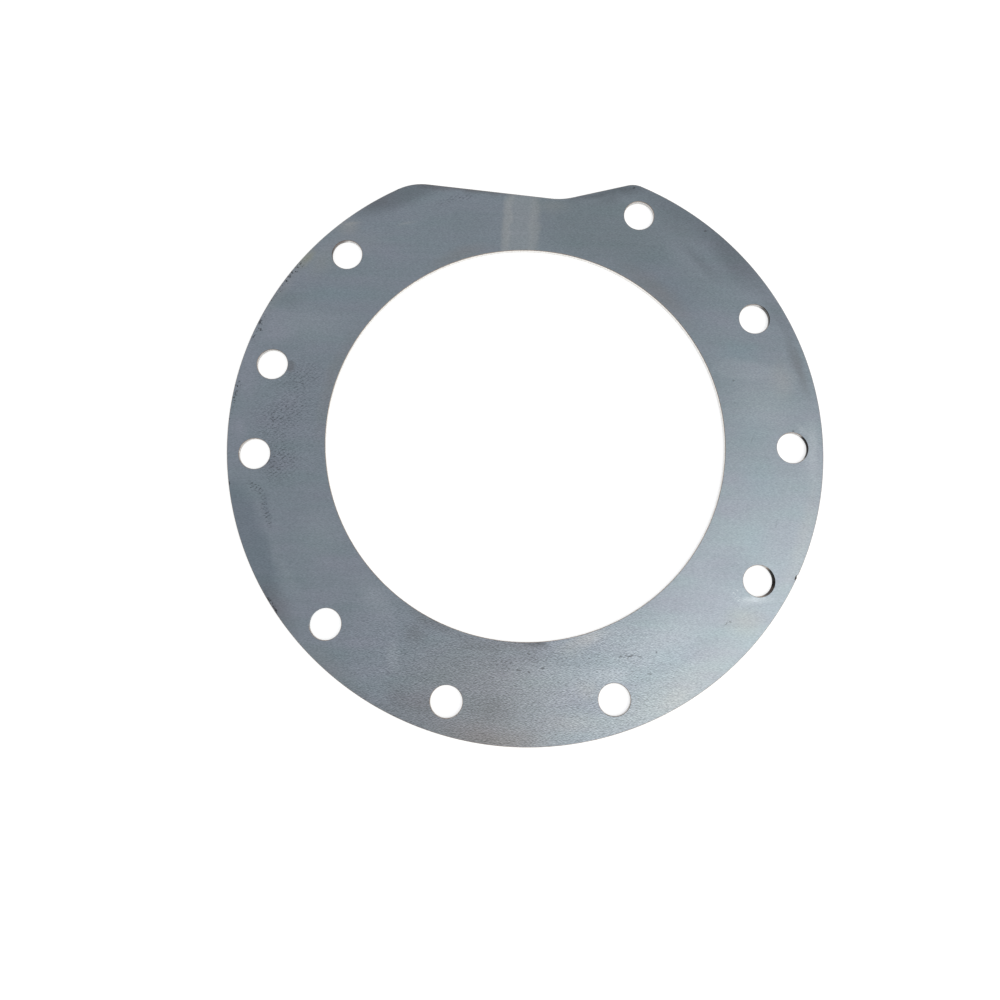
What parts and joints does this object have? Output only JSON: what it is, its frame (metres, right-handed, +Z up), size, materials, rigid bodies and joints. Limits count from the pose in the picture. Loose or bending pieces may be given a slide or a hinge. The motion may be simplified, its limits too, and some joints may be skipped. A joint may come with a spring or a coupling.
{
  "type": "adjustment shim",
  "caption": "Flat sheet-steel ring shim with a wide bore, unevenly spaced bolt holes and a shallow V cut out of its rim.",
  "frame": {"origin": "centre of the bore on the lower face", "axes": "+Z up through the sheet along the bore's axis, +X towards the bolt hole at the right in the picture, +Y towards the V cut out of the rim"},
  "size_m": [0.27, 0.2603, 0.002],
  "materials": {
    "sheet_steel": "cold-rolled, grey, with fine horizontal grain and light handling stains"
  },
  "bodies": {
    "root": {"shim_plate": "sheet_steel"}
  },
  "joints": []
}
